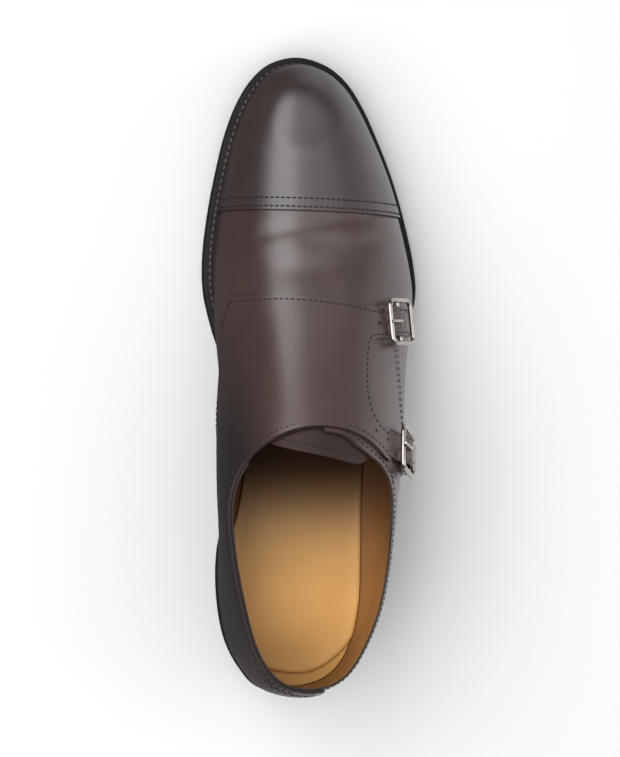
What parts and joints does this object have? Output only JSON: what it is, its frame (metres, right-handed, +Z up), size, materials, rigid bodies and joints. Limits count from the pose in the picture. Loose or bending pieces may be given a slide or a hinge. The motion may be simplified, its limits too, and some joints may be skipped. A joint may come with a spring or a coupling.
{
  "type": "double monk strap shoe",
  "caption": "Closed leather dress shoe for the right foot with a cap toe, a welted sole with a low heel, and two buckled straps across the instep.",
  "frame": {"origin": "centre of the heel's underside, on the floor", "axes": "+Y towards the toe, +X towards the outer (lateral) side, +Z up"},
  "size_m": [0.1036, 0.303, 0.1013],
  "materials": {
    "upper_leather": "polished dark oxblood brown calf",
    "cap_leather": "the same calf, burnished darker at the toe",
    "sole_leather": "black waxed sole and heel edge",
    "top_piece_rubber": "matte black rubber",
    "lining_leather": "smooth tan lining leather",
    "buckle_metal": "polished gunmetal nickel"
  },
  "bodies": {
    "root": {"outsole": "sole_leather", "heel": "sole_leather", "heel_top_piece": "top_piece_rubber", "welt": "sole_leather", "insole": "lining_leather", "upper": "upper_leather", "tongue": "upper_leather", "toe_cap": "cap_leather", "strap_flap": "upper_leather", "back_strip": "upper_leather", "front_buckle_frame": "buckle_metal", "front_buckle_prong": "buckle_metal", "front_buckle_stay": "upper_leather", "rear_buckle_frame": "buckle_metal", "rear_buckle_prong": "buckle_metal", "rear_buckle_stay": "upper_leather"}
  },
  "joints": []
}
